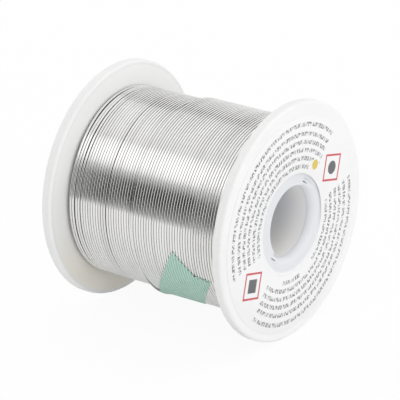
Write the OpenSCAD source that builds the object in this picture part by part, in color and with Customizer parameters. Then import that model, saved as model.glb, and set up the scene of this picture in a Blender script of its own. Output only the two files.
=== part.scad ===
// Spool of solder wire lying on its two flange rims.
// The axis of the spool is the Y axis, the front end faces -Y and +Z is up.
// The origin is on the axis, half way between the two ends.

/* [Flanges] */
// Diameter of both flanges
flange_d = 63.5; // [58:0.5:80]
// Width of the spool over its two end faces
spool_w = 56.8; // [45:0.2:80]
// Thickness of a flange
flange_t = 3; // [1.8:0.1:4]
// Radius of the rounded rim edges
edge_r = 0.8; // [0.3:0.1:0.85]

/* [Arbor] */
// Diameter of the through bore for a bench spindle
bore_d = 19.2; // [14:0.1:23]
// Wall of the arbor tube
arbor_wall = 1.2; // [0.8:0.1:1.8]
// Radial clearance between the arbor tube and the flange collar
arbor_clear = 0.3; // [0.1:0.05:0.5]
// Depth of the arbor tube's ends below the end faces
lip_depth = 2.4; // [1.2:0.1:2.6]
// Diameter of the shallow recess round each bore mouth
dish_d = 26.8; // [25.6:0.2:32]
// Depth of the recess
dish_depth = 0.3; // [0.2:0.05:0.6]
// Radius of the edge on the square half of the lip
lip_edge = 0.25; // [0.1:0.05:0.4]

/* [Lip pockets] */
// Direction of the pocket that runs clockwise from its step, where the square half begins
pocket_cw_deg = 63; // [30:1:80]
// Direction of the pocket that runs counter-clockwise from its step, where the square half ends
pocket_ccw_deg = 218; // [200:1:240]
// Diameter over the outer sides of the pockets
pocket_d = 23.8; // [22.8:0.1:24.4]
// Depth of a pocket's step below the recess
pocket_drop = 0.9; // [0.4:0.1:1.2]
// Slope of a pocket's floor
pocket_slope = 9; // [6:1:16]
// Length of the slit at the foot of a step, over the gap round the arbor tube
slit_l = 2.8; // [1:0.1:4]

/* [Barrel] */
// Diameter of the barrel that the wire is wound on
barrel_d = 33; // [29:0.5:42]
// Wall of the barrel
barrel_wall = 1.6; // [1:0.1:2.4]
// Radial clearance between the flange collar and the barrel
collar_clear = 0.15; // [0.05:0.05:0.4]
// Length of the flange collar inside the barrel
collar_l = 4; // [2:0.5:8]
// Number of ribs between the barrel and the arbor tube
rib_count = 6; // [3:1:10]
// Thickness of a rib
rib_t = 1.2; // [0.8:0.1:2]
// Gap between the ribs and the pieces that they steady
rib_clear = 0.2; // [0.1:0.05:0.3]

/* [Solder wire] */
// Diameter of the solder wire
wire_d = 0.8; // [0.5:0.1:1.2]
// Diameter over the last full layer of wire
wind_d = 50.6; // [44:0.2:56]
// Distance of the step to the top layer from the middle, towards the rear
step_y = 4; // [-10:0.5:14]
// Number of drawn turns
turn_count = 24; // [12:1:24]
// Gap between neighbouring drawn turns
turn_gap = 0.45; // [0.42:0.01:0.8]
// Gap between the winding and the pieces that it lies against
wind_clear = 0.1; // [0.05:0.05:0.3]
// Distance of the wire's anchor hole from the rear flange
anchor_in = 7; // [6:0.5:14]
// Length of the wire's anchored start inside the barrel
anchor_l = 6; // [3:0.5:12]

/* [End tape] */
// Width of the tape
tape_w = 12.6; // [8:0.2:20]
// Length of the tape
tape_l = 48; // [30:1:60]
// Thickness of the tape
tape_t = 0.15; // [0.1:0.01:0.3]
// Slant of the tape across the turns
tape_slant = 30; // [0:1:35]
// Direction of the middle of the tape's torn end
tape_deg = 196; // [180:1:220]
// Distance of the torn end from the middle, towards the front
tape_y = 14.6; // [10:0.2:17]

/* [Labels] */
// Thickness of the paper labels
label_t = 0.12; // [0.08:0.01:0.3]
// Bare border of the flange round a label
label_border = 3.1; // [2.4:0.1:8]
// Bare border between a label and the dish
label_clear = 0.2; // [0.1:0.1:2]
// How far the front label sits below the axis
label_drop = 0.7; // [0:0.1:1.6]
// How far the front label sits beside the axis, towards -X
label_side = 0.5; // [0:0.1:1]

/* [Hidden] */
$fn = 96;

white = [0.95, 0.95, 0.94];
paper = [0.97, 0.97, 0.96];
solder = [0.72, 0.72, 0.71];
green = [0.67, 0.83, 0.76];

// An overlap that keeps joined shapes joined
join = 0.02;
face_v = spool_w / 2;
web_v = face_v - flange_t;
arbor_r = bore_d / 2 + arbor_wall;
seat_r = arbor_r + arbor_clear;
// Radius of the round half of the lip, which reaches down to the arbor tube's end
lip_round = lip_depth - dish_depth;
// How far inside the pockets the round half begins and ends, in degrees
round_inset = 1.5;
// Run of the recess's slanted side
dish_edge = 0.25;
barrel_in_r = barrel_d / 2 - barrel_wall;
collar_r = barrel_in_r - collar_clear;
rib_l = 2 * (web_v - collar_l - rib_clear);

// The drawn turns share the width between the flanges
wind_l = 2 * (web_v - wind_clear);
turn_pitch = (wind_l + turn_gap) / (turn_count + 1);
turn_d = turn_pitch - turn_gap;
turn_rings = 24;
turn_sides = 6;
low_r = wind_d / 2;
high_r = low_r + wire_d;
// A chord of a drawn turn dips this far towards the core
turn_dip = low_r * (1 - cos(180 / turn_rings));
core_low_r = low_r - turn_d - turn_dip - wind_clear;
core_high_r = core_low_r + wire_d;
// Bend at the wire's ends, and where round the spool it ends
bend_r = 0.8 * turn_d;
bend_steps = 3;
start_deg = 270;
// Turns below the step, counted from the rear
step_turn = floor((wind_l / 2 - turn_d / 2 - step_y) / turn_pitch);

// Steps of the tape's surface along it and across it
tape_along = 28;
tape_across = 12;
small_fn = 32;

// Turns a profile of radius and distance towards the front about the spool's axis
module about_axis() {
    rotate([90, 0, 0]) rotate_extrude(convexity = 8) children();
}

// Half of a cross-section through a flange, on the side of the bore, the web and the rim
module flange_profile() {
    rim_r = flange_d / 2;
    difference() {
        union() {
            translate([seat_r, web_v]) square([rim_r - edge_r - seat_r, flange_t]);
            translate([rim_r - edge_r - join, web_v + edge_r])
                square([edge_r + join, flange_t - 2 * edge_r]);
            for (v = [web_v + edge_r, face_v - edge_r])
                translate([rim_r - edge_r, v]) circle(edge_r);
            translate([bore_d / 2, face_v - lip_depth]) square([seat_r - bore_d / 2 + join, lip_depth]);
            translate([seat_r, web_v - collar_l]) square([collar_r - seat_r, collar_l + join]);
        }
        polygon([[0, face_v - dish_depth], [dish_d / 2 - dish_edge, face_v - dish_depth],
                 [dish_d / 2, face_v], [dish_d / 2, face_v + join], [0, face_v + join]]);
        mouth_cut(lip_edge);
    }
}

// What a rounding of the given radius takes off the corner between the recess and the bore
module mouth_cut(round_r) {
    middle_r = bore_d / 2 + round_r - join;
    middle_v = face_v - dish_depth - round_r + join;
    difference() {
        translate([middle_r - round_r - join, middle_v]) square(round_r + join);
        translate([middle_r, middle_v]) circle(round_r);
    }
}

// Space cut from the round half of the lip, from one step round the lower side to the other
module round_half() {
    rotate([90, 0, 0]) rotate([0, 0, pocket_ccw_deg + round_inset])
        rotate_extrude(angle = 360 + pocket_cw_deg - pocket_ccw_deg - 2 * round_inset) mouth_cut(lip_round);
}

// Block on one side of a step: its corner is at the step's foot, and it reaches towards the front
module step_block(deg, turn, depth, slope, size) {
    rotate([0, -deg, 0]) translate([0, -(face_v - depth), 0]) rotate([turn * slope, 0, 0])
        translate([0, -2 * lip_depth, turn > 0 ? 0 : -size])
            cube([2 * seat_r, 2 * lip_depth, size]);
}

// Space cut from the lip: a step at the given direction, a floor that rises away from it, and a slit
module lip_pocket(deg, turn) {
    intersection() {
        step_block(deg, turn, dish_depth + pocket_drop, pocket_slope, seat_r);
        about_axis() translate([0, face_v - lip_depth]) square([pocket_d / 2, lip_depth + join]);
    }
    intersection() {
        step_block(deg, turn, lip_depth + join, 0, slit_l);
        about_axis() translate([arbor_r, face_v - 2 * lip_depth]) square([arbor_clear - join, 2 * lip_depth]);
    }
}

// One flange moulding with its collar, drawn at the front end
module flange() {
    difference() {
        about_axis() flange_profile();
        round_half();
        lip_pocket(pocket_cw_deg, -1);
        lip_pocket(pocket_ccw_deg, 1);
    }
}

module front_flange() {
    color(white) flange();
}

// The same moulding, turned round for the rear end
module rear_flange() {
    color(white) rotate([0, 0, 180]) flange();
}

// Inner tube that carries the bore, held between the lips of the two flanges
module arbor_tube() {
    half_l = face_v - lip_depth;
    color(white) about_axis() translate([bore_d / 2, -half_l]) square([arbor_wall, 2 * half_l]);
}

// Position of the wire's anchor hole along the axis
function anchor_y() = web_v - anchor_in;

// Direction of the anchor hole, half way between two ribs
function anchor_deg() = 180 / rib_count;

// Drum between the flanges, with ribs that steady the arbor tube
module hub_barrel() {
    color(white) difference() {
        union() {
            about_axis() translate([barrel_in_r, -web_v]) square([barrel_wall, 2 * web_v]);
            for (i = [0 : rib_count - 1])
                rotate([0, -360 * i / rib_count, 0])
                    translate([arbor_r + rib_clear, -rib_l / 2, -rib_t / 2])
                        cube([barrel_in_r + join - arbor_r - rib_clear, rib_l, rib_t]);
        }
        translate([0, anchor_y(), 0]) rotate([0, 90 - anchor_deg(), 0])
            cylinder(h = barrel_d, r = wire_d / 2 + rib_clear);
    }
}

// Bent start of the wire: through the barrel's anchor hole, then along the inside of the barrel
module solder_start() {
    tail_r = barrel_in_r - wire_d / 2 - rib_clear;
    color(solder) translate([0, anchor_y(), 0]) rotate([0, 90 - anchor_deg(), 0]) {
        translate([0, 0, tail_r]) cylinder(h = barrel_d / 2 - tail_r, d = wire_d, $fn = small_fn);
        translate([0, 0, tail_r]) sphere(d = wire_d, $fn = small_fn);
        translate([0, 0, tail_r]) rotate([90, 0, 0]) cylinder(h = anchor_l, d = wire_d, $fn = small_fn);
    }
}

// Radius of the drawn wire's centre line after a number of turns from the rear
function turn_r(turns) =
    low_r - turn_d / 2 + wire_d * min(1, max(0, 2 * (turns - step_turn)));

// Place of the drawn wire's centre line along the axis after a number of turns
function turn_y(turns) = wind_l / 2 - turn_d / 2 - turn_pitch * turns;

// One centre-line point: [x, y, z] and the direction that faces outwards there
function line_point(x, y, z, out_deg) = [[x, y, z], out_deg];

// A point beside the turn's circle: along its tangent and towards the axis, in the end's own frame
function end_point(turns, along, inwards, out_deg) =
    let (deg = start_deg + 360 * turns, r = turn_r(turns) - inwards)
    line_point(r * cos(deg) - along * sin(deg), turn_y(turns), r * sin(deg) + along * cos(deg), deg + out_deg);

// The first or last end: straight out of the core for one diameter, then a bend into the turn
function end_points(turns, way) = concat(
    [end_point(turns, -way * bend_r, bend_r + turn_d, way * 90)],
    [for (i = [0 : bend_steps - 1]) let (a = 90 - 90 * i / bend_steps)
        end_point(turns, -way * bend_r * sin(a), bend_r * (1 - cos(a)), way * a)]);

function flip(list) = [for (i = [len(list) - 1 : -1 : 0]) list[i]];

// Centre line of the whole outer layer, rear end first
function turn_line() = concat(
    end_points(0, 1),
    [for (i = [0 : turn_count * turn_rings]) let (turns = i / turn_rings, deg = start_deg + 360 * turns)
        line_point(turn_r(turns) * cos(deg), turn_y(turns), turn_r(turns) * sin(deg), deg)],
    flip(end_points(turn_count, -1)));

// Corners of the ring round one centre-line point
function ring(point) = [for (j = [0 : turn_sides - 1]) let (a = 360 * j / turn_sides, r = turn_d / 2)
    point[0] + r * [cos(a) * cos(point[1]), sin(a), cos(a) * sin(point[1])]];

// Triangles of a closed tube through rings of equal size
function tube_faces(rings, sides) = concat(
    [for (i = [0 : rings - 2], j = [0 : sides - 1], half = [0, 1])
        let (a = i * sides + j, b = i * sides + (j + 1) % sides)
        half == 0 ? [a, b + sides, b] : [a, a + sides, b + sides]],
    [for (j = [1 : sides - 2]) [0, j, j + 1]],
    [for (j = [1 : sides - 2]) let (last = (rings - 1) * sides) [last, last + j + 1, last + j]]);

// Least distance between centre-line points of neighbouring turns, less the wire drawn round them
function least_gap(line) = min([for (i = [0 : len(line) - turn_rings - 3], k = [-2 : 2])
    norm(line[i][0] - line[i + turn_rings + k][0]) - turn_d]);

// The layers below: one plain ring, a layer thicker in front of the step, with a pocket for each wire end
module solder_inner_turns() {
    inner_r = barrel_d / 2 + wind_clear;
    step_v = -(turn_y(step_turn + 0.5) - turn_d / 2 - wind_clear);
    end_w = turn_d + 2 * wind_clear;
    color(solder) difference() {
        about_axis() union() {
            translate([inner_r, -wind_l / 2]) square([core_low_r - inner_r, wind_l]);
            translate([inner_r, step_v]) square([core_high_r - inner_r, wind_l / 2 - step_v]);
        }
        for (turns = [0, turn_count]) let (way = turns == 0 ? 1 : -1)
            rotate([0, -start_deg - 360 * turns, 0])
                translate([turn_r(turns) - bend_r - turn_d, turn_y(turns) - end_w / 2,
                           way > 0 ? -bend_r - end_w / 2 : 0])
                    cube([2 * bend_r + turn_d, end_w, bend_r + end_w / 2]);
    }
}

// The outer layer: one unbroken wire, drawn thicker than it is, that climbs a layer at the step
module solder_outer_turns() {
    line = turn_line();
    echo(least_gap_between_turns = least_gap(line));
    color(solder) polyhedron(points = [for (p = line) each ring(p)],
                             faces = tube_faces(len(line), turn_sides), convexity = 10);
}

// Radius of the winding's surface, with the slope that the tape takes over the step
function wind_r(y) =
    let (edge_y = turn_y(step_turn + 0.5) + turn_d / 2, slope_l = 2 * turn_pitch)
    y < edge_y ? high_r : y > edge_y + slope_l ? low_r : high_r - wire_d * (y - edge_y) / slope_l;

// One point of the tape: how far along it, how far across it and how high above the winding
function tape_point(along, across, height) =
    let (y = -tape_y + along * sin(tape_slant) + across * cos(tape_slant),
         arc = along * cos(tape_slant) - across * sin(tape_slant),
         deg = tape_deg + arc / high_r * 180 / PI, r = wind_r(y) + wind_clear + height)
    [r * cos(deg), y, r * sin(deg)];

// Strip of tape that holds the end of the wire, wrapped at a slant round the winding
module end_tape() {
    cols = tape_across + 1;
    count = (tape_along + 1) * cols;
    sheet = [for (h = [0, tape_t], i = [0 : tape_along], j = [0 : tape_across])
        tape_point(tape_l * i / tape_along, tape_w * (j / tape_across - 0.5), h)];
    // The outline runs once round the strip; each of its edges joins the two sheets
    outline = concat([for (j = [0 : tape_across]) j],
                     [for (i = [1 : tape_along]) i * cols + tape_across],
                     [for (j = [tape_across - 1 : -1 : 0]) tape_along * cols + j],
                     [for (i = [tape_along - 1 : -1 : 1]) i * cols]);
    skin = [for (i = [0 : tape_along - 1], j = [0 : tape_across - 1], half = [0, 1])
        let (a = i * cols + j) half == 0 ? [a, a + 1, a + cols + 1] : [a, a + cols + 1, a + cols]];
    edge = [for (k = [0 : len(outline) - 1], half = [0, 1])
        let (a = outline[k], b = outline[(k + 1) % len(outline)])
        half == 0 ? [b, a, a + count] : [b, a + count, b + count]];
    color(green) polyhedron(points = sheet,
                            faces = concat(skin, [for (f = skin) [f[0], f[2], f[1]] + [count, count, count]], edge),
                            convexity = 6);
}

// Paper ring on an end face
module label() {
    about_axis() translate([dish_d / 2 + label_clear, face_v])
        square([flange_d / 2 - label_border - dish_d / 2 - label_clear, label_t]);
}

module front_label() {
    color(paper) translate([-label_side, 0, -label_drop]) label();
}

module rear_label() {
    color(paper) rotate([0, 0, 180]) label();
}

front_flange();
rear_flange();
arbor_tube();
hub_barrel();
solder_start();
solder_inner_turns();
solder_outer_turns();
end_tape();
front_label();
rear_label();
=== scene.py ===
"""Looks of a spool of fine solder wire.

The spool lies on its two flange rims with its axis along Y, its front end faces -Y and +Z is up.
Lengths are in metres, and MM turns millimetres into metres. Angles about the axis are in degrees, from
+X towards +Z.
"""
import logging
import math
from dataclasses import dataclass, field
from enum import Enum
from typing import Dict, List, Optional, Sequence, Tuple, Union

import bpy
from mathutils import Matrix, Vector


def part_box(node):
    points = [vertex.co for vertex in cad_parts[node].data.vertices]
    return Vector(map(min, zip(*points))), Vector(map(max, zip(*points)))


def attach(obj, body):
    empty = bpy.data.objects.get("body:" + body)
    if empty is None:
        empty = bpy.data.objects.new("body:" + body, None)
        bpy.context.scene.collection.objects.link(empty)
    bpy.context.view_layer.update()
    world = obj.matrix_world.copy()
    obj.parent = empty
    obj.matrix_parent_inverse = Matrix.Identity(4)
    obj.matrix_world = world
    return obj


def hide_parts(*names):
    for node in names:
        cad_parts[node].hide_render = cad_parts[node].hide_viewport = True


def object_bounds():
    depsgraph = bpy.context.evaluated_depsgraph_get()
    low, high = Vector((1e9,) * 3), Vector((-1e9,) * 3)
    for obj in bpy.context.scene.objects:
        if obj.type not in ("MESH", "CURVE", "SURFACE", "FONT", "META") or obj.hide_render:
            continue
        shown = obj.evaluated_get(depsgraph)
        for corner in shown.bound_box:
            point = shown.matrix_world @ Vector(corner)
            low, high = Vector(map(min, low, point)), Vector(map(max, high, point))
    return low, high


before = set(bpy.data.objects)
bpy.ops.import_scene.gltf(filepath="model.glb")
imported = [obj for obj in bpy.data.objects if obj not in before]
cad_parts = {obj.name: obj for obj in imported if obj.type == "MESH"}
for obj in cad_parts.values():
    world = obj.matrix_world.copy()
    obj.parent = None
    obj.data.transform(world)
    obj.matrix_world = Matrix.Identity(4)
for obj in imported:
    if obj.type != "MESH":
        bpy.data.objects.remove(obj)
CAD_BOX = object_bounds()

LOG = logging.getLogger("spool")
MM = 0.001
BODY = "root"

Colour = Tuple[float, float, float]
Scale = Tuple[float, float, float]
Levels = Tuple[Tuple[float, float], ...]


def ease(value: float, start: float, end: float) -> float:
    """A smooth rise from 0 at start to 1 at end.

    Args:
        value: Where on the rise.
        start: Where the rise begins.
        end: Where it is complete.

    Returns:
        A number from 0 to 1.
    """
    share = min(1.0, max(0.0, (value - start) / (end - start)))
    return share * share * (3.0 - 2.0 * share)


def about_axis(radius: float, y: float, degrees: float) -> Vector:
    """A point at a radius, at an angle about the spool's axis, and at a place along it."""
    angle = math.radians(degrees)
    return Vector((radius * math.cos(angle), y, radius * math.sin(angle)))


class Slot(Enum):
    """Material slots of the record."""

    PLASTIC = "spool_plastic"
    WIRE = "solder_wire"
    TAPE = "tape_paper"
    LABEL = "label_paper"


# ---------------------------------------------------------------- shader arithmetic


class Signal:
    """A node's output socket that takes part in arithmetic; each operation adds its Math node."""

    def __init__(self, sheet: "NodeSheet", socket: bpy.types.NodeSocket) -> None:
        """Wraps a socket.

        Args:
            sheet: The node tree that the socket is in.
            socket: The output socket.
        """
        self.sheet = sheet
        self.socket = socket

    def math(self, operation: str, *values: "Value") -> "Signal":
        """One Math node.

        Args:
            operation: Its operation.
            *values: What goes into its sockets, in order.

        Returns:
            Its result.
        """
        return self.sheet.node("ShaderNodeMath", {"operation": operation}, dict(enumerate(values)))

    def __add__(self, other: "Value") -> "Signal":
        """Sum."""
        return self.math("ADD", self, other)

    def __radd__(self, other: "Value") -> "Signal":
        """Sum with a number on the left."""
        return self.math("ADD", other, self)

    def __sub__(self, other: "Value") -> "Signal":
        """Difference."""
        return self.math("SUBTRACT", self, other)

    def __rsub__(self, other: "Value") -> "Signal":
        """Difference with a number on the left."""
        return self.math("SUBTRACT", other, self)

    def __mul__(self, other: "Value") -> "Signal":
        """Product."""
        return self.math("MULTIPLY", self, other)

    def __rmul__(self, other: "Value") -> "Signal":
        """Product with a number on the left."""
        return self.math("MULTIPLY", other, self)

    def __truediv__(self, other: "Value") -> "Signal":
        """Quotient."""
        return self.math("DIVIDE", self, other)

    def __pow__(self, other: "Value") -> "Signal":
        """Power."""
        return self.math("POWER", self, other)

    def __abs__(self) -> "Signal":
        """Absolute value."""
        return self.math("ABSOLUTE", self)

    def __lt__(self, other: "Value") -> "Signal":
        """1 where this is less, else 0."""
        return self.math("LESS_THAN", self, other)

    def __gt__(self, other: "Value") -> "Signal":
        """1 where this is more, else 0."""
        return self.math("GREATER_THAN", self, other)

    def most(self, other: "Value") -> "Signal":
        """The greater of the two."""
        return self.math("MAXIMUM", self, other)

    def floor(self) -> "Signal":
        """The whole number at or below."""
        return self.math("FLOOR", self)


Value = Union[Signal, float]
Socket = Union[Signal, float, Sequence[float], bpy.types.NodeSocket]


class NodeSheet:
    """The nodes of one material or of the world."""

    def __init__(self, tree: bpy.types.NodeTree) -> None:
        """Takes over a node tree and empties it.

        Args:
            tree: The node tree.
        """
        self.tree = tree
        tree.nodes.clear()

    def node(
        self,
        kind: str,
        settings: Optional[Dict[str, object]] = None,
        sockets: Optional[Dict[Union[int, str], Socket]] = None,
        out: Union[int, str] = 0,
    ) -> Signal:
        """Adds one node.

        Args:
            kind: The node's type.
            settings: Its own settings, set first; "stops" are the places and colours of a ramp.
            sockets: Values or links of its input sockets, by name or number.
            out: The output socket to hand back.

        Returns:
            That output socket, or nothing for an output node, which has none.
        """
        node = self.tree.nodes.new(kind)
        for name, value in (settings or {}).items():
            if name == "stops":
                self._set_stops(node.color_ramp, value)
            else:
                setattr(node, name, value)
        for name, value in (sockets or {}).items():
            if isinstance(value, Signal):
                self.tree.links.new(value.socket, node.inputs[name])
            else:
                node.inputs[name].default_value = value
        return Signal(self, node.outputs[out]) if len(node.outputs) else None

    @staticmethod
    def _set_stops(ramp: bpy.types.ColorRamp, stops: Sequence[Tuple[float, Colour]]) -> None:
        """Gives a ramp its stops.

        Args:
            ramp: The ramp.
            stops: Places from 0 to 1, and their colours.
        """
        while len(ramp.elements) < len(stops):
            ramp.elements.new(1.0)
        for element, (place, colour) in zip(ramp.elements, stops):
            element.position = place
            element.color = (*colour, 1.0)

    def place(self) -> Tuple[Signal, Signal, Signal, Signal]:
        """Object coordinates.

        Returns:
            The vector, then its x, y and z.
        """
        vector = self.node("ShaderNodeTexCoord", out="Object")
        parts = [self.node("ShaderNodeSeparateXYZ", None, {0: vector}, out=i) for i in range(3)]
        return vector, parts[0], parts[1], parts[2]

    def length(self, a: Signal, b: Signal) -> Signal:
        """Length of a two-part vector."""
        return (a * a + b * b) ** 0.5

    def rise(self, value: Value, start: float, end: float, low: float = 0.0, high: float = 1.0) -> Signal:
        """A smooth change from low at start to high at end, level outside.

        Args:
            value: What is followed.
            start: Where the change begins.
            end: Where it is complete.
            low: Result at start.
            high: Result at end.

        Returns:
            The eased result.
        """
        return self.node(
            "ShaderNodeMapRange",
            {"interpolation_type": "SMOOTHSTEP"},
            {"Value": value, "From Min": start, "From Max": end, "To Min": low, "To Max": high},
        )

    def fall(self, value: Value, start: float, end: float) -> Signal:
        """A smooth fall from 1 at start to 0 at end."""
        return self.rise(value, start, end, 1.0, 0.0)

    def band(self, value: Value, low: float, high: float, soft: float) -> Signal:
        """1 between low and high, with soft ends."""
        return self.rise(value, low - soft, low + soft) * self.fall(value, high - soft, high + soft)

    def scaled(self, vector: Signal, scale: Sequence[float], shift: Sequence[float] = (0, 0, 0)) -> Signal:
        """A vector put through a Mapping node."""
        return self.node("ShaderNodeMapping", None, {"Vector": vector, "Scale": scale, "Location": shift})

    def noise(self, vector: Signal, scale: float, detail: float = 2.0, rough: float = 0.5) -> Signal:
        """Noise from 0 to 1 about 0.5."""
        return self.node(
            "ShaderNodeTexNoise",
            None,
            {"Vector": vector, "Scale": scale, "Detail": detail, "Roughness": rough},
        )

    def dots(self, vector: Signal, scale: float) -> Signal:
        """Distance to the nearest of scattered points, in cells."""
        return self.node("ShaderNodeTexVoronoi", None, {"Vector": vector, "Scale": scale}, out="Distance")

    def mix(self, share: Value, first: Socket, second: Socket) -> Signal:
        """A colour between two colours.

        Args:
            share: How much of the second, from 0 to 1.
            first: A colour or a colour signal.
            second: The same.

        Returns:
            The mixed colour.
        """
        four = [(*c, 1.0) if isinstance(c, tuple) else c for c in (first, second)]
        return self.node("ShaderNodeMix", {"data_type": "RGBA"}, {0: share, 6: four[0], 7: four[1]}, out=2)

    def bump(
        self, height: Signal, distance: float, strength: float, under: Optional[Signal] = None
    ) -> Signal:
        """A Bump node.

        Args:
            height: Height, 0 to 1.
            distance: Real height of 1, in metres.
            strength: How much of it counts.
            under: A coarser bump below this one.

        Returns:
            The normal.
        """
        sockets = {"Height": height, "Distance": distance, "Strength": strength}
        if under is not None:
            sockets["Normal"] = under
        return self.node("ShaderNodeBump", None, sockets)

    def surface(self, sockets: Dict[Union[int, str], Socket]) -> None:
        """Ends a material in a Principled shader.

        Args:
            sockets: Its values and links.
        """
        shader = self.node("ShaderNodeBsdfPrincipled", None, sockets)
        self.node("ShaderNodeOutputMaterial", None, {"Surface": shader})


def new_material(name: str) -> Tuple[bpy.types.Material, NodeSheet]:
    """A material with an empty node tree.

    Args:
        name: Its name.

    Returns:
        The material, and the sheet that fills it.
    """
    material = bpy.data.materials.new(name)
    material.use_nodes = True
    return material, NodeSheet(material.node_tree)


# ---------------------------------------------------------------- finishes


@dataclass(frozen=True)
class MouldedPlastic:
    """Satin white moulded polystyrene with fine mould texture, faint flow marks and scuffed rims, with
    painted light on the flanges' inner faces and painted shade along the rims, low on the inner faces and
    in the bore.
    """

    colour: Colour = (0.890, 0.890, 0.888)
    shade: Colour = (0.850, 0.850, 0.850)
    # Painted light on the flanges' inner faces.
    painted_inner_light: Colour = (0.955, 0.955, 0.950)
    # Painted shading at the bore's mouth and dish: darker on the flanges, lighter on the tube.
    painted_mouth_shading: Colour = (0.760, 0.770, 0.795)
    # Painted shade deep in the bore.
    deep: Colour = (0.695, 0.702, 0.720)
    # Colour of real wear in patches on the rims, and of painted shade over the whole rim.
    scuff_and_shade: Colour = (0.78, 0.77, 0.75)
    # Painted shade: warmer, darker colour low on the inner faces.
    painted_low_shade: Colour = (0.910, 0.875, 0.785)
    roughness: float = 0.55
    rim_r: float = 31.75 * MM
    dish_r: float = 13.4 * MM
    web_y: float = 25.4 * MM
    deep_y: float = 17.0 * MM
    edge: float = 0.5 * MM
    cloud_scale: float = 90.0
    grain_scale: float = 9000.0
    flow_scale: float = 900.0
    hair_scale: Scale = (2600.0, 300.0, 180.0)
    name: str = "moulded_plastic"

    def material(self) -> bpy.types.Material:
        """Builds the finish.

        Returns:
            The material.
        """
        material, sheet = new_material(self.name)
        vector, x, y, z = sheet.place()
        radius = sheet.length(x, z)
        cloud = sheet.noise(vector, self.cloud_scale, 3.0)
        grain = sheet.noise(vector, self.grain_scale, 2.0, 0.6)
        flow = sheet.noise(vector, self.flow_scale, 4.0, 0.7)
        hair = sheet.noise(sheet.scaled(vector, self.hair_scale), 1.0, 3.0, 0.6)
        lip = sheet.fall(radius, self.dish_r - 0.2 * self.edge, self.dish_r)
        rim = sheet.rise(radius, self.rim_r - self.edge, self.rim_r)
        worn = rim * sheet.rise(flow, 0.56, 0.66)
        inside = sheet.fall(abs(y), self.web_y + 0.2 * self.edge, self.web_y + 1.2 * self.edge)
        inside = inside * sheet.fall(radius, self.rim_r - 3.2 * self.edge, self.rim_r - 1.4 * self.edge)
        low = sheet.rise(z, 0.0, -0.7 * self.rim_r) * inside
        base = sheet.mix(sheet.rise(cloud, 0.35, 0.75) * 0.5, self.colour, self.shade)
        # Painted light: the inner faces of the flanges are lighter, standing in for light that the shade
        # between the flanges takes away.
        base = sheet.mix(inside * 0.9, base, self.painted_inner_light)
        # Painted shade in the bore: the dish and mouth get a set level (darker on the flanges, lighter on
        # the tube as painted light), darkening deeper in.
        painted_bore_shade = sheet.mix(sheet.rise(abs(y), self.deep_y, self.web_y), self.deep, self.painted_mouth_shading)
        base = sheet.mix(lip * (0.85 + cloud * 0.3), base, painted_bore_shade)
        # Painted shade: darker and warmer low on the inner faces, below the winding.
        base = sheet.mix(low * 0.85, base, self.painted_low_shade)
        # Real wear in patches on the rims, and painted shade: the whole rim a little darker against the
        # light it catches.
        base = sheet.mix(rim * 0.08 + worn * 0.35, base, self.scuff_and_shade)
        rough = self.roughness + (cloud - 0.5) * 0.16 + worn * 0.2 + (hair - 0.5) * 0.1
        normal = sheet.bump(grain, 0.012 * MM, 0.35)
        normal = sheet.bump(hair * 0.6 + flow * 0.4, 0.015 * MM, 0.3, normal)
        sheet.surface({
            "Base Color": base,
            "Roughness": rough,
            "Normal": normal,
            "IOR": 1.55,
            "Specular IOR Level": 0.25,
        })
        return material


@dataclass(frozen=True)
class DrawnSolder:
    """Bright drawn tin alloy wire: fine lines, small pits, oxide, a duller stretch at the front, and
    painted shade on its sides towards the grooves between the turns.
    """

    colour: Colour = (0.840, 0.837, 0.827)
    dull_and_shade: Colour = (0.60, 0.595, 0.58)
    # Painted shade on the wire's sides, in the grooves.
    groove: Colour = (0.36, 0.36, 0.365)
    groove_at: float = 0.72
    roughness: float = 0.07
    stale_y: float = -14.9 * MM
    line_scale: Scale = (60.0, 6000.0, 1.0)
    stretch_scale: Scale = (24.0, 160.0, 1.0)
    patch_scale: float = 120.0
    pit_scale: Scale = (900.0, 1500.0, 900.0)
    name: str = "drawn_solder"

    def material(self) -> bpy.types.Material:
        """Builds the finish.

        Returns:
            The material.
        """
        material, sheet = new_material(self.name)
        vector, _, y, _ = sheet.place()
        wire = sheet.node("ShaderNodeAttribute", {"attribute_name": "wire"}, out="Vector")
        crest = sheet.node("ShaderNodeSeparateXYZ", None, {0: wire}, out="Z")
        lines = sheet.noise(sheet.scaled(wire, self.line_scale), 1.0, 2.0, 0.6)
        stretch = sheet.noise(sheet.scaled(wire, self.stretch_scale, (0.37, 0.41, 0.0)), 1.0, 2.0, 0.6)
        patch = sheet.noise(vector, self.patch_scale, 3.0, 0.55)
        pits = sheet.fall(sheet.dots(sheet.scaled(vector, self.pit_scale), 1.0), 0.05, 0.16)
        tarnish = sheet.rise(patch, 0.45, 0.75)
        dull_and_shade = sheet.rise(stretch, 0.46, 0.68) * 0.35 + tarnish * 0.12 + sheet.rise(lines, 0.5, 0.8) * 0.12
        base = sheet.mix(dull_and_shade, self.colour, self.dull_and_shade)
        # Painted shade: the wire is darker on its sides, towards the grooves between the turns.
        base = sheet.mix(sheet.rise(crest, self.groove_at, 0.15), base, self.groove)
        stale = sheet.rise(y, self.stale_y + 0.2 * MM, self.stale_y - 0.2 * MM)
        rough = self.roughness + tarnish * 0.04 + (lines - 0.5) * 0.05 + pits * 0.10 + stale * 0.15
        normal = sheet.bump(lines - pits * 1.2, 0.002 * MM, 0.4)
        sheet.surface({
            "Base Color": base,
            "Roughness": rough,
            "Normal": normal,
            "Metallic": 1.0,
        })
        return material


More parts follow.
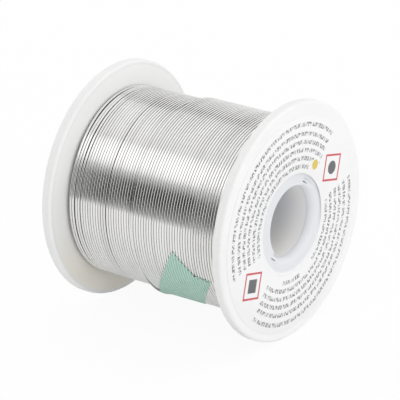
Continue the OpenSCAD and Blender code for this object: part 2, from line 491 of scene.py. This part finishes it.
@dataclass(frozen=True)
class CrepeTape:
    """Matt green crepe paper tape that shows the wires below it, with painted shade over the grooves
    between them.
    """

    colour: Colour = (0.510, 0.742, 0.652)
    pale: Colour = (0.590, 0.800, 0.722)
    deep: Colour = (0.255, 0.425, 0.360)
    roughness: float = 0.62
    crepe_scale: Scale = (5200.0, 700.0, 1.0)
    fibre_scale: Scale = (1500.0, 9000.0, 1.0)
    cloud_scale: Scale = (260.0, 260.0, 1.0)

    def material(self) -> bpy.types.Material:
        """Builds the finish.

        Returns:
            The material.
        """
        material, sheet = new_material("crepe_tape")
        strip = sheet.node("ShaderNodeUVMap", {"uv_map": "strip"})
        crepe = sheet.noise(sheet.scaled(strip, self.crepe_scale), 1.0, 3.0, 0.6)
        fibre = sheet.noise(sheet.scaled(strip, self.fibre_scale), 1.0, 2.0, 0.6)
        cloud = sheet.noise(sheet.scaled(strip, self.cloud_scale), 1.0, 3.0, 0.5)
        base = sheet.mix(sheet.rise(crepe, 0.42, 0.72) * 0.55, self.colour, self.pale)
        darker = sheet.rise(fibre, 0.52, 0.74) * 0.35 + sheet.rise(cloud, 0.5, 0.75) * 0.25
        base = sheet.mix(darker, base, self.deep)
        # Painted shade: darker over the grooves between the turns below.
        groove = sheet.node("ShaderNodeAttribute", {"attribute_name": "groove"}, out="Fac")
        base = sheet.mix(groove * 0.9, base, self.deep)
        normal = sheet.bump(crepe * 0.7 + fibre * 0.3, 0.05 * MM, 0.3)
        sheet.surface({
            "Base Color": base,
            "Roughness": self.roughness + (cloud - 0.5) * 0.15,
            "Normal": normal,
            "Specular IOR Level": 0.35,
            "Sheen Weight": 0.15,
            "Sheen Roughness": 0.5,
        })
        return material


@dataclass(frozen=True)
class PrintBlock:
    """Rings of printed dashes between two angles."""

    start: float
    end: float
    first_r: float
    rows: int
    seed: float


@dataclass(frozen=True)
class PrintFrame:
    """A plain coloured frame with a plain grey disc or square in it."""

    x: float
    z: float
    tilt: float
    disc: bool


@dataclass(frozen=True)
class PrintedPaper:
    """Coated white label paper with generic print: dashes in rings, two plain frames and a dot."""

    name: str
    face: float
    centre: Tuple[float, float]
    blocks: Tuple[PrintBlock, ...]
    frames: Tuple[PrintFrame, ...] = ()
    dot: Optional[Tuple[float, float]] = None
    paper: Colour = (0.885, 0.882, 0.885)
    ink: Colour = (0.165, 0.165, 0.168)
    red: Colour = (0.600, 0.095, 0.105)
    yellow: Colour = (0.720, 0.560, 0.110)
    grey: Colour = (0.130, 0.130, 0.135)
    row_step: float = 2.13 * MM
    row_h: float = 1.10 * MM
    word_l: float = 3.1 * MM
    word_gap: float = 0.42 * MM
    frame_half: float = 3.6 * MM
    frame_line: float = 0.55 * MM
    core_half: float = 1.75 * MM
    dot_r: float = 1.3 * MM
    dot_clear: float = 0.5 * MM
    blur: float = 0.04 * MM
    row_shift: float = 17.3
    beat_scale: Tuple[float, float] = (2100.0, 2.2)
    beat_shift: float = 31.0
    roughness: float = 0.46

    def _block(self, sheet: NodeSheet, radius: Signal, turn: Signal, block: PrintBlock) -> Signal:
        """Ink of one block of dash rows.

        Args:
            sheet: The material's nodes.
            radius: Distance from the label's centre.
            turn: Angle about the label's centre, in degrees from 0 to 360.
            block: The block.

        Returns:
            How much ink, 0 to 1.
        """
        span = (block.end - block.start) % 360.0
        past = turn - block.start
        along = past + (past < 0.0) * 360.0
        row = (radius - block.first_r) / self.row_step
        number = (row + 0.5).floor()
        across = abs(row - number) * self.row_step
        inside = (number > -0.5) * (number < block.rows - 0.5)
        inside = inside * (along > 0.01) * (along < span)
        arc = along * (number * self.row_step + block.first_r) * math.radians(1.0)
        words = sheet.node(
            "ShaderNodeTexVoronoi",
            {"voronoi_dimensions": "1D", "feature": "DISTANCE_TO_EDGE"},
            {"W": arc / self.word_l + number * self.row_shift + block.seed, "Scale": 1.0},
        )
        dash = sheet.rise(words * self.word_l, self.word_gap * 0.4, self.word_gap * 0.6)
        beat_at = arc * self.beat_scale[0] + number * self.beat_shift
        beat = sheet.node(
            "ShaderNodeTexNoise",
            {"noise_dimensions": "2D"},
            {
                "Vector": self._pair(sheet, beat_at, (row - number) * self.beat_scale[1]),
                "Scale": 1.0,
                "Detail": 1.0,
            },
        )
        height = self.row_h * 0.5
        body = sheet.fall(across, height - 1.5 * self.blur, height + 1.5 * self.blur)
        return inside * dash * body * sheet.rise(beat, 0.40, 0.64, 0.08, 1.0)

    @staticmethod
    def _pair(sheet: NodeSheet, a: Signal, b: Signal) -> Signal:
        """Two numbers as a vector."""
        return sheet.node("ShaderNodeCombineXYZ", None, {0: a, 1: b})

    def material(self) -> bpy.types.Material:
        """Builds the finish.

        Returns:
            The material.
        """
        material, sheet = new_material(self.name)
        vector, x, _, z = sheet.place()
        across = x * self.face
        beside, above = across - self.centre[0], z - self.centre[1]
        radius = sheet.length(beside, above)
        degrees = above.math("ARCTAN2", above, beside) * (180.0 / math.pi)
        turn = degrees + (degrees < 0.0) * 360.0
        fibre = sheet.noise(vector, 3200.0, 4.0, 0.65)
        cloud = sheet.noise(vector, 240.0, 2.0)
        shaded = tuple(c * 0.985 for c in self.paper)
        base = sheet.mix(sheet.rise(cloud, 0.3, 0.8) * 0.5, self.paper, shaded)
        ink = None
        for block in self.blocks:
            part = self._block(sheet, radius, turn, block)
            ink = part if ink is None else ink.most(part)
        if self.dot:
            away = sheet.length(across - self.dot[0], z - self.dot[1])
            ink = ink * (away > self.dot_r + self.dot_clear)
        base = sheet.mix(ink, base, self.ink)
        for mark in self.frames:
            tilt = math.radians(mark.tilt)
            u = (across - mark.x) * math.cos(tilt) + (z - mark.z) * math.sin(tilt)
            v = (z - mark.z) * math.cos(tilt) - (across - mark.x) * math.sin(tilt)
            reach = abs(u).most(abs(v))
            line = sheet.band(reach, self.frame_half - self.frame_line, self.frame_half, self.blur)
            core = sheet.length(u, v) if mark.disc else reach
            fill = sheet.fall(core, self.core_half, self.core_half + 2.0 * self.blur)
            base = sheet.mix(fill, sheet.mix(line, base, self.red), self.grey)
        if self.dot:
            spot = sheet.fall(away, self.dot_r, self.dot_r + 2.0 * self.blur)
            base = sheet.mix(spot, base, self.yellow)
        sheet.surface({
            "Base Color": base,
            "Roughness": self.roughness + (fibre - 0.5) * 0.2 - ink * 0.06,
            "Normal": sheet.bump(fibre, 0.008 * MM, 0.3),
            "Specular IOR Level": 0.4,
        })
        return material


# ---------------------------------------------------------------- modelling


class Bench:
    """The modelling steps that the pieces share."""

    @staticmethod
    def clear() -> None:
        """Leaves nothing selected."""
        bpy.ops.object.select_all(action="DESELECT")

    @staticmethod
    def name(piece: str) -> bpy.types.Object:
        """Names the object that was just added, and its mesh.

        Args:
            piece: The name.

        Returns:
            The object.
        """
        obj = bpy.context.object
        obj.name = obj.data.name = piece
        return obj

    @staticmethod
    def pick(obj: bpy.types.Object) -> None:
        """Selects one object alone.

        Args:
            obj: The object.
        """
        Bench.clear()
        obj.select_set(True)
        bpy.context.view_layer.objects.active = obj

    @staticmethod
    def modify(obj: bpy.types.Object, kind: str, **settings: object) -> None:
        """Adds a modifier and applies it.

        Args:
            obj: The object.
            kind: The modifier's type.
            **settings: Its settings.
        """
        Bench.pick(obj)
        modifier = obj.modifiers.new(kind.lower(), kind)
        for name, value in settings.items():
            setattr(modifier, name, value)
        bpy.ops.object.modifier_apply(modifier=modifier.name)

    @staticmethod
    def settle(obj: bpy.types.Object) -> None:
        """Puts an object's place, turn and scale into its mesh."""
        Bench.pick(obj)
        bpy.ops.object.transform_apply(location=True, rotation=True, scale=True)

    @staticmethod
    def smooth(obj: bpy.types.Object, degrees: float = 35.0) -> None:
        """Shades an object smooth, with creases kept."""
        Bench.pick(obj)
        bpy.ops.object.shade_smooth_by_angle(angle=math.radians(degrees))

    @staticmethod
    def wire(name: str, route: Sequence[Vector], radius: float, sides: int) -> bpy.types.Object:
        """A round wire along a route, as a closed mesh.

        Args:
            name: The piece's name.
            route: Points of its centre line.
            radius: Radius of the wire.
            sides: Number of its sides, an even number.

        Returns:
            The mesh object.
        """
        Bench.clear()
        curve = bpy.data.curves.new(name, "CURVE")
        curve.dimensions = "3D"
        curve.bevel_depth = radius
        curve.bevel_resolution = sides // 2 - 2
        curve.use_fill_caps = True
        spline = curve.splines.new("POLY")
        spline.points.add(len(route) - 1)
        spline.points.foreach_set("co", [c for point in route for c in (*point, 1.0)])
        obj = bpy.data.objects.new(name, curve)
        bpy.context.collection.objects.link(obj)
        Bench.pick(obj)
        bpy.ops.object.convert(target="MESH")
        obj = Bench.name(name)
        Bench.smooth(obj, 60.0)
        step = (route[-1] - route[-2]).length
        skin = obj.data.attributes.new("wire", "FLOAT_VECTOR", "POINT")
        for index, (place, vertex) in enumerate(zip(skin.data, obj.data.vertices)):
            ring, side = divmod(index, sides)
            middle = route[min(ring, len(route) - 1)]
            out = math.hypot(vertex.co.x, vertex.co.z) - math.hypot(middle.x, middle.z)
            place.vector = (ring * step, abs(2.0 * side / sides - 1.0) * math.pi * radius, out / radius)
        return obj

    @staticmethod
    def hand_in(obj: bpy.types.Object, slot: Slot, material: bpy.types.Material, *nodes: str) -> None:
        """Dresses a piece and ties it to the frame.

        Args:
            obj: The piece.
            slot: The record's slot that it is finished from; not used.
            material: Its material.
            *nodes: The nodes that it stands for.
        """
        obj.data.materials.clear()
        obj.data.materials.append(material)
        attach(obj, BODY)
        if nodes:
            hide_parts(*nodes)
        stands_for = ", ".join(nodes) or "no node"
        LOG.info("%s: %d faces, for %s", obj.name, len(obj.data.polygons), stands_for)


@dataclass
class Slack:
    """A step aside of the wire, which leaves a gap of one turn's length beside it."""

    turn: int
    degrees: float
    width: float


@dataclass
class Winding:
    """The solder: one unbroken wire that goes forward in the lower layer and comes back on top of it.

    Attributes:
        rings: Rings of the wire's mesh on one turn.
        end_degrees: Where the wire ends, below the tape.
        last_y: Where the top layer ends, which leaves a step.
        climb: Turns that the wire takes to climb a layer.
        lift: How far the end stands proud below the tape.
        drift: How far the end lies beside its turn.
        slack_turns: Turns that a step aside takes.
        drift_at: Turns before the end between which it drifts.
        lift_at: Turns before the end between which it lifts.
        tape_sag: How deep the tape sinks into a groove.
        tape_peak: Angles between which the tape rises over the end, and falls again.
        top_r: Radius over the top layer.
        room: Half of the room between the flanges.
        slacks: Steps aside of the lower layer.
    """

    wire_d: float = 0.8 * MM
    pitch: float = 0.82 * MM
    rings: int = 72
    sides: int = 12
    end_degrees: float = 262.0
    last_y: float = 3.75 * MM
    climb: float = 0.2
    lift: float = 0.55 * MM
    drift: float = 0.3 * MM
    slack_turns: float = 0.12
    drift_at: Tuple[float, float] = (0.115, 0.045)
    lift_at: Tuple[float, float] = (0.11, 0.045)
    tape_sag: float = 0.20 * MM
    tape_peak: Tuple[float, float, float, float] = (232.0, 246.0, 258.0, 272.0)
    top_r: float = field(default_factory=lambda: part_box("solder_outer_turns")[1].x)
    room: float = field(default_factory=lambda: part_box("hub_barrel")[1].y)
    slacks: Tuple[Slack, ...] = (
        Slack(1, 112.0, 0.34 * MM),
        Slack(3, 138.0, 0.22 * MM),
        Slack(5, 100.0, 0.12 * MM),
        Slack(15, 75.0, 0.14 * MM),
    )

    def __post_init__(self) -> None:
        """Works out the layers from the sizes."""
        self.end_y = self.room - self.wire_d / 2 - 0.02 * MM
        self.upper_r = self.top_r - self.wire_d / 2
        self.lower_r = self.upper_r - self.wire_d
        self.under_r = self.lower_r - self.wire_d
        slack = sum(s.width for s in self.slacks)
        self.lower_turns = (2 * self.end_y - slack) / self.pitch
        self.upper_turns = (self.last_y + self.end_y) / self.pitch
        self.turns = self.lower_turns + self.upper_turns
        self.start_degrees = (self.end_degrees - 360.0 * self.turns) % 360.0

    def _place_of(self, turn: int, degrees: float) -> float:
        """The number of turns from the start to an angle on a turn."""
        return turn - 1 + ((degrees - self.start_degrees) % 360.0) / 360.0

    def _sway(self, turns: float) -> Tuple[float, float]:
        """Small unevenness of the wire.

        Args:
            turns: Number of turns from the start of the lower layer.

        Returns:
            How far the wire lies along the axis and outwards of its even course.
        """
        angle = 2.0 * math.pi * turns
        side = 0.003 * math.sin(0.618 * angle) + 0.002 * math.sin(2.37 * angle + 1.0)
        out = 0.005 * math.sin(0.381 * angle) + 0.003 * math.sin(3.13 * angle + 2.0)
        out += 0.002 * math.sin(7.71 * angle)
        return side * MM, out * MM

    def centre(self, turns: float) -> Vector:
        """Centre of the wire.

        Args:
            turns: Number of turns from the start of the lower layer.

        Returns:
            The point.
        """
        side, out = self._sway(turns)
        degrees = self.start_degrees + 360.0 * turns
        left = self.turns - turns
        if turns < self.lower_turns:
            y = self.end_y - self.pitch * turns
            for slack in self.slacks:
                at = self._place_of(slack.turn, slack.degrees)
                y -= slack.width * ease(turns, at, at + self.slack_turns)
        else:
            y = -self.end_y + self.pitch * (turns - self.lower_turns)
        radius = self.under_r + (self.lower_r - self.under_r) * ease(turns, 0.0, self.climb)
        climbed = ease(turns, self.lower_turns - self.climb / 2, self.lower_turns + self.climb / 2)
        radius += (self.upper_r - self.lower_r) * climbed
        y += self.drift * ease(left, *self.drift_at)
        radius += self.lift * ease(left, *self.lift_at)
        return about_axis(radius + out, y + side, degrees)

    def skin(self, y: float, degrees: float) -> float:
        """Radius of a sheet that lies on the winding.

        Args:
            y: Place along the axis.
            degrees: Angle about the axis.

        Returns:
            The radius, less over the grooves between the turns.
        """
        step = ease(y, self.last_y + 0.5 * self.wire_d, self.last_y + 2.6 * self.wire_d)
        raised = math.exp(-(((y - self.last_y - self.drift) / (0.9 * self.wire_d)) ** 2))
        start, risen, falls, end = self.tape_peak
        raised *= ease(degrees, start, risen) * ease(degrees, end, falls)
        sunk = self.tape_sag * self.groove(y, degrees)
        return self.top_r - self.wire_d * step - sunk + self.lift * 0.8 * raised

    def groove(self, y: float, degrees: float) -> float:
        """How near a place is to the groove between two turns: 0 on a wire's crest, 1 in the groove."""
        turn = (y + self.end_y) / self.pitch - (degrees - self.end_degrees) / 360.0 - self.upper_turns
        return abs(math.sin(math.pi * turn)) ** 2.5

    def build(self, material: bpy.types.Material, dull_and_shade: bpy.types.Material) -> None:
        """Makes the wire and the layer that shows in its gaps.

        Args:
            material: The wire's finish.
            dull_and_shade: Finish of the layer below, made dark as painted shade for the gaps between the
                turns.
        """
        count = int(self.turns * self.rings)
        route = [self.centre(self.turns * i / count) for i in range(count + 1)]
        wire = Bench.wire("solder_winding", route, self.wire_d / 2, self.sides)
        Bench.hand_in(wire, Slot.WIRE, material, "solder_outer_turns")

        under_turns = int((self.end_y - self.last_y - self.wire_d) / self.pitch)
        count = under_turns * self.rings // 2
        route = [
            about_axis(self.under_r, self.end_y - self.pitch * left, self.start_degrees - 360.0 * left)
            for left in (under_turns * i / count for i in range(1, count + 1))
        ]
        # This layer below gets a dark finish, painted shade for the gaps where it shows between the turns.
        under = Bench.wire("solder_under_turns", route, self.wire_d / 2, 6)
        Bench.hand_in(under, Slot.WIRE, dull_and_shade)


@dataclass
class EndTape:
    """The strip of green tape that holds the end of the wire.

    Attributes:
        degrees: Angle about the axis at the middle of its seen end.
        y: Place along the axis of the same point.
        along: Faces along the strip.
        across: Faces across it.
        notch_v: Distance of the notch in the torn end from the rear side.
        notch_depth: Depth of the notch.
        corner_depth: How far the front corner is torn back.
        tooth: Width of a tooth of the torn edge.
        torn_l: Length over which the torn edge pulls the mesh in.
        cut_l: The same at the hidden end.
        crease_l: Length of the crease that starts at the notch.
        clear: Gap to the wires.
    """

    width: float = 12.6 * MM
    length: float = 48.0 * MM
    thickness: float = 0.15 * MM
    slant: float = 30.0
    degrees: float = 196.0
    y: float = -14.6 * MM
    along: int = 200
    across: int = 112
    notch_v: float = 7.9 * MM
    notch_depth: float = 2.5 * MM
    corner_depth: float = 0.7 * MM
    tooth: float = 1.15 * MM
    tooth_depth: float = 0.6 * MM
    torn_l: float = 6.0 * MM
    cut_l: float = 4.0 * MM
    crease_l: float = 9.0 * MM
    crease_w: float = 0.35 * MM
    crease_h: float = 0.22 * MM
    clear: float = 0.03 * MM

    def _edge(self, v: float) -> float:
        """How far in the torn edge lies.

        Args:
            v: Distance from the strip's rear side.

        Returns:
            Distance from the strip's nominal end.
        """
        if v < self.notch_v:
            inwards = self.notch_depth * v / self.notch_v
        else:
            share = (v - self.notch_v) / (self.width - self.notch_v)
            inwards = self.notch_depth + (self.corner_depth - self.notch_depth) * share
        tooth = abs((v / self.tooth) % 1.0 - 0.5) * 2.0
        return inwards + self.tooth_depth * (tooth - 0.5)

    def build(self, winding: Winding, material: bpy.types.Material) -> None:
        """Lays the strip over the winding.

        Args:
            winding: What it lies on.
            material: Its finish.
        """
        Bench.clear()
        bpy.ops.mesh.primitive_grid_add(x_subdivisions=self.along, y_subdivisions=self.across, size=2.0)
        tape = Bench.name("tape_strip")
        strip = tape.data.uv_layers.new(name="strip")
        slant = math.radians(self.slant)
        # Nearness to a groove, for the painted shade over the grooves.
        shade = tape.data.attributes.new("groove", "FLOAT", "POINT")
        flat: List[Tuple[float, float]] = []
        for vertex in tape.data.vertices:
            u = (vertex.co.x + 1.0) / 2.0 * self.length
            v = (1.0 - vertex.co.y) / 2.0 * self.width
            torn, cut = ease(u, self.torn_l, 0.0), ease(u, self.length - self.cut_l, self.length)
            u += self._edge(v) * (torn - 0.5 * cut)
            side = self.width / 2 - v
            y = self.y + u * math.sin(slant) + side * math.cos(slant)
            arc = u * math.cos(slant) - side * math.sin(slant)
            degrees = self.degrees + math.degrees(arc / winding.top_r)
            crease = self.crease_h * math.exp(-(((v - self.notch_v) / self.crease_w) ** 2))
            crease *= ease(u, self.crease_l, 0.0)
            vertex.co = about_axis(winding.skin(y, degrees) + self.clear + crease, y, degrees)
            shade.data[vertex.index].value = winding.groove(y, degrees)
            flat.append((u, v))
        for loop in tape.data.loops:
            strip.data[loop.index].uv = flat[loop.vertex_index]
        Bench.pick(tape)
        bpy.ops.object.mode_set(mode="EDIT")
        bpy.ops.mesh.select_all(action="SELECT")
        bpy.ops.mesh.flip_normals()
        bpy.ops.object.mode_set(mode="OBJECT")
        Bench.modify(tape, "SOLIDIFY", thickness=self.thickness, offset=1.0)
        Bench.smooth(tape, 50.0)
        Bench.hand_in(tape, Slot.TAPE, material, "end_tape")


@dataclass
class PaperLabel:
    """A paper ring on an end face."""

    node: str
    name: str
    segments: int = 192
    edge: float = 0.04 * MM

    def build(self, hole_r: float, material: bpy.types.Material) -> None:
        """Cuts the ring and rounds its edges.

        Args:
            hole_r: Radius of its hole.
            material: Its finish.
        """
        low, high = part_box(self.node)
        centre = (low + high) / 2
        outer_r = (high.x - low.x) / 2
        Bench.clear()
        bpy.ops.mesh.primitive_circle_add(
            vertices=self.segments, radius=outer_r, location=centre, rotation=(math.pi / 2, 0, 0)
        )
        label = Bench.name(self.name)
        bpy.ops.object.mode_set(mode="EDIT")
        bpy.ops.mesh.select_all(action="SELECT")
        bpy.ops.mesh.extrude_edges_move()
        share = hole_r / outer_r
        bpy.ops.transform.resize(value=(share, share, share))
        bpy.ops.mesh.select_all(action="SELECT")
        bpy.ops.mesh.normals_make_consistent(inside=False)
        bpy.ops.object.mode_set(mode="OBJECT")
        Bench.settle(label)
        Bench.modify(label, "SOLIDIFY", thickness=high.y - low.y, offset=0.0)
        Bench.modify(label, "BEVEL", width=self.edge, segments=2, limit_method="ANGLE")
        Bench.smooth(label)
        Bench.hand_in(label, Slot.LABEL, material, self.node)


# ---------------------------------------------------------------- studio


@dataclass
class Card:
    """A flat upright card that shows only in reflections, with levels of light from its foot to its top.

    In front of the first number of its front the light is never below the second.
    """

    name: str
    low: Vector
    high: Vector
    levels: Levels
    front: Tuple[float, float]


@dataclass
class SoftLamp:
    """A large soft lamp."""

    name: str
    towards: Vector
    light: float


@dataclass
class Studio:
    """Plain white floor, soft light, cards for the metal to reflect, and the camera.

    Attributes:
        floor_near: Distance from the axis up to which the floor's glow in reflections is least.
        floor_far: Distance from which it is most.
        floor_glow: The least and the most of it.
        floor_white: How white the floor is.
        floor_plain: Share of the floor that the camera sees as plain white.
        ambient: Even light all round.
        sky: The same as reflections show it.
        back: Direction from the spool to the camera.
        winding_r: Radius of the metal that reflects the cards.
        far_band: Light of the far card, by the angle about the axis at which the winding shows it.
        left_band: The same for the left card.
        far_front: Border and least light of the brighter front part of the far card.
        left_front: The same for the left card.
    """

    floor_size: float = 8.0
    floor_near: float = 0.02
    floor_far: float = 0.10
    floor_glow: Tuple[float, float] = (0.42, 0.86)
    floor_white: float = 0.93
    floor_plain: float = 0.93
    ambient: float = 0.69
    sky: float = 1.06
    lens: float = 265.0
    distance: float = 0.7671
    shift_right: float = -0.635 * MM
    shift_up: float = -0.476 * MM
    back: Vector = field(default_factory=lambda: Vector((-0.75370, -0.54379, 0.36910)))
    left_x: float = -0.20
    far_x: float = 0.25
    card_y: Tuple[float, float] = (-0.60, 1.10)
    card_soft: float = 0.03
    winding_r: float = 25.7 * MM
    far_band: Levels = (
        (71.0, 1.25), (76.0, 1.02), (80.0, 0.88), (84.0, 0.66), (88.0, 0.30), (92.0, 0.14),
        (96.0, 0.08), (104.5, 0.10), (106.0, 0.75), (108.0, 1.10),
    )
    far_front: Tuple[float, float] = (0.05, 1.05)
    left_band: Levels = (
        (172.0, 0.60), (170.5, 0.10), (168.0, 0.02), (164.0, 0.01), (160.0, 0.02), (156.0, 0.06),
        (152.0, 0.52), (148.0, 1.12), (144.0, 1.40), (140.0, 1.50), (136.0, 1.40), (133.2, 1.00),
        (128.0, 1.00),
    )
    left_front: Tuple[float, float] = (-0.08, 0.78)
    lamp_size: float = 1.2
    lamp_distance: float = 1.6
    lamps: Tuple[SoftLamp, ...] = (
        SoftLamp("key", Vector((-0.35, -0.40, 0.85)), 0.12),
        SoftLamp("fill", Vector((-0.50, -0.85, 0.15)), 0.21),
        SoftLamp("side", Vector((0.55, -0.50, 0.67)), 0.20),
        SoftLamp("back", Vector((0.25, 0.85, 0.45)), 0.26),
    )

    def _world(self) -> None:
        """Even light all round, white to the camera and a little darker in reflections."""
        world = bpy.data.worlds.new("studio")
        world.use_nodes = True
        bpy.context.scene.world = world
        sheet = NodeSheet(world.node_tree)
        camera = sheet.node("ShaderNodeLightPath", out="Is Camera Ray")
        glossy = sheet.node("ShaderNodeLightPath", out="Is Glossy Ray")
        strength = self.ambient + camera * (1.0 - self.ambient) + glossy * (self.sky - self.ambient)
        light = sheet.node("ShaderNodeBackground", None, {"Color": (1, 1, 1, 1), "Strength": strength})
        sheet.node("ShaderNodeOutputWorld", None, {"Surface": light})

    def _floor(self) -> None:
        """A white floor that keeps a faint shadow."""
        Bench.clear()
        bpy.ops.mesh.primitive_plane_add(size=self.floor_size, location=(0, 0, CAD_BOX[0].z))
        floor = Bench.name("floor")
        material, sheet = new_material("floor_white")
        camera = sheet.node("ShaderNodeLightPath", out="Is Camera Ray")
        glossy = sheet.node("ShaderNodeLightPath", out="Is Glossy Ray")
        cloth = sheet.node("ShaderNodeBsdfDiffuse", None, {"Color": (*(self.floor_white,) * 3, 1.0)})
        glow = sheet.node("ShaderNodeEmission", None, {"Color": (1, 1, 1, 1), "Strength": 1.0})
        _, x, _, _ = sheet.place()
        near = sheet.rise(abs(x), self.floor_near, self.floor_far, *self.floor_glow)
        share = camera * self.floor_plain + glossy * near
        mixed = sheet.node("ShaderNodeMixShader", None, {0: share, 1: cloth, 2: glow})
        sheet.node("ShaderNodeOutputMaterial", None, {"Surface": mixed})
        floor.data.materials.append(material)

    def _card(self, card: Card) -> None:
        """Stands up one card.

        Args:
            card: Its place and brightness.
        """
        Bench.clear()
        bpy.ops.mesh.primitive_plane_add(size=1.0, rotation=(0, math.pi / 2, 0))
        obj = Bench.name(card.name)
        size = card.high - card.low
        obj.scale = (size.z, size.y, 1.0)
        obj.location = (card.low + card.high) / 2
        Bench.settle(obj)
        material, sheet = new_material(card.name)
        _, _, y, z = sheet.place()
        share = (z - card.low.z) / size.z
        border, least = card.front
        front = sheet.rise(y, border + self.card_soft, border - self.card_soft) * least
        peak = max(light for _, light in card.levels)
        stops = [
            (max(0.0, (height - card.low.z) / size.z), (light / peak,) * 3) for height, light in card.levels
        ]
        level = sheet.node("ShaderNodeValToRGB", {"stops": stops}, {0: share}) * peak
        strength = level.most(front)
        glow = sheet.node("ShaderNodeEmission", None, {"Color": (1, 1, 1, 1), "Strength": strength})
        sheet.node("ShaderNodeOutputMaterial", None, {"Surface": glow})
        obj.data.materials.append(material)
        obj.visible_camera = obj.visible_diffuse = obj.visible_shadow = False
        obj.visible_transmission = False

    def _lamp(self, lamp: SoftLamp) -> None:
        """Hangs up one soft lamp, which reflections don't show.

        Args:
            lamp: Its direction and light.
        """
        data = bpy.data.lights.new(lamp.name, "AREA")
        data.shape = "SQUARE"
        data.size = self.lamp_size
        data.energy = (math.pi * self.lamp_distance) ** 2 * lamp.light
        towards = lamp.towards.normalized()
        obj = bpy.data.objects.new(lamp.name, data)
        obj.location = towards * self.lamp_distance
        obj.rotation_euler = towards.to_track_quat("Z", "Y").to_euler()
        obj.visible_glossy = False
        bpy.context.collection.objects.link(obj)

    def _levels(self, band: Levels, card_x: float) -> Levels:
        """Heights on a card that the winding shows at given angles about its axis.

        Args:
            band: Angles about the axis, and the light that is reflected there.
            card_x: Where the card stands.

        Returns:
            Heights on the card, in metres, and their light.
        """
        view = math.degrees(math.atan2(self.back.z, self.back.x))
        levels = []
        for degrees, light in band:
            spot = about_axis(self.winding_r, 0.0, degrees)
            slope = math.tan(math.radians(2.0 * degrees - view))
            levels.append((spot.z + (card_x - spot.x) * slope, light))
        return tuple(levels)

    def _camera(self) -> None:
        """A long lens from the front left, a little above."""
        right = Vector((0, 0, 1)).cross(self.back).normalized()
        up = self.back.cross(right)
        data = bpy.data.cameras.new("camera")
        data.lens = self.lens
        camera = bpy.data.objects.new("camera", data)
        place = right * self.shift_right + up * self.shift_up + self.back * self.distance
        turn = Matrix((right, up, self.back)).transposed().to_4x4()
        camera.matrix_world = Matrix.Translation(place) @ turn
        bpy.context.collection.objects.link(camera)
        bpy.context.scene.camera = camera

    def build(self) -> None:
        """Sets the whole studio up."""
        bpy.context.scene.view_settings.view_transform = "Standard"
        self._camera()
        self._world()
        self._floor()
        for lamp in self.lamps:
            self._lamp(lamp)
        for name, card_x, band, front in (
            ("left_card", self.left_x, self.left_band, self.left_front),
            ("far_card", self.far_x, self.far_band, self.far_front),
        ):
            levels = self._levels(band, card_x)
            low = Vector((card_x, self.card_y[0], CAD_BOX[0].z))
            high = Vector((card_x, self.card_y[1], levels[-1][0]))
            self._card(Card(name, low, high, levels, front))
        LOG.info("studio: floor, %d lamps, 2 cards, camera", len(self.lamps))


# ---------------------------------------------------------------- the spool


@dataclass
class Spool:
    """The whole object: moulded parts from the frame, and the wire, tape and labels modelled here."""

    rim_r: float = field(default_factory=lambda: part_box("front_flange")[1].x)
    hole_r: float = 13.6 * MM
    # Painted light: the tube's plastic is lighter at its mouth.
    painted_tube_mouth_light: Colour = (0.930, 0.930, 0.935)
    # Painted shade: the dark colours of the wire layer below, which shows in the gaps between the turns.
    under_painted_shade: Colour = (0.40, 0.40, 0.39)
    under_painted_dull_shade: Colour = (0.26, 0.26, 0.25)
    under_roughness: float = 0.25
    print_centre: Tuple[float, float] = (-0.2 * MM, -0.72 * MM)
    first_row_r: float = 15.35 * MM
    last_row_r: float = 26.4 * MM

    def _front_print(self) -> PrintedPaper:
        """Print of the front label.

        Returns:
            Rings of dashes in three blocks, two frames and a dot.
        """
        r = self.rim_r
        step = PrintedPaper.row_step
        first, last = self.first_row_r, self.last_row_r
        return PrintedPaper(
            "front_label_print",
            1.0,
            self.print_centre,
            (
                PrintBlock(48.0, 195.0, last, 1, 6.6),
                PrintBlock(48.0, 195.0, first + step, 4, 0.3),
                PrintBlock(63.0, 195.0, first, 1, 5.1),
                PrintBlock(229.0, 12.0, last, 1, 4.2),
                PrintBlock(229.0, 12.0, first + step, 4, 9.7),
                PrintBlock(254.0, 284.0, first, 1, 2.2),
                PrintBlock(305.0, 8.0, first, 1, 3.9),
            ),
            (
                PrintFrame(0.555 * r, 0.300 * r, -14.0, True),
                PrintFrame(-0.569 * r, -0.363 * r, -14.0, False),
            ),
            (0.307 * r, 0.402 * r),
        )

    def _rear_print(self) -> PrintedPaper:
        """Print of the rear label.

        Returns:
            Rings of dashes in two blocks.
        """
        first = 0.52 * self.rim_r
        return PrintedPaper(
            "rear_label_print",
            -1.0,
            (0.0, 0.0),
            (PrintBlock(35.0, 145.0, first, 4, 1.3), PrintBlock(215.0, 325.0, first, 4, 7.9)),
        )

    def _dress(self, node: str, material: bpy.types.Material) -> None:
        """Gives a node of the frame its finish.

        Args:
            node: The node's name.
            material: The finish.
        """
        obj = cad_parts[node]
        for slot in obj.material_slots:
            slot.material = material
        LOG.info("%s: dressed", node)

    def build(self) -> None:
        """Makes and dresses every piece, from the inside out."""
        plastic = MouldedPlastic(rim_r=self.rim_r).material()
        solder = DrawnSolder().material()
        # Dark finish for the layer below and the hidden inner turns: painted shade in the gaps between the
        # turns.
        dull_and_shade = DrawnSolder(
            self.under_painted_shade, self.under_painted_dull_shade, roughness=self.under_roughness, name="painted_shade_solder"
        ).material()
        for node in ("hub_barrel", "front_flange", "rear_flange"):
            self._dress(node, plastic)
        # The tube gets painted light at its mouth and painted shade deeper in.
        tube = MouldedPlastic(painted_mouth_shading=self.painted_tube_mouth_light, name="tube_plastic").material()
        self._dress("arbor_tube", tube)
        self._dress("solder_start", solder)
        self._dress("solder_inner_turns", dull_and_shade)
        winding = Winding()
        winding.build(solder, dull_and_shade)
        EndTape().build(winding, CrepeTape().material())
        PaperLabel("front_label", "label_front").build(self.hole_r, self._front_print().material())
        PaperLabel("rear_label", "label_rear").build(self.hole_r, self._rear_print().material())


def main() -> None:
    """Builds the studio and the spool."""
    logging.basicConfig(level=logging.INFO, format="%(name)s: %(message)s")
    Studio().build()
    Spool().build()


if __name__ == "__main__":
    main()
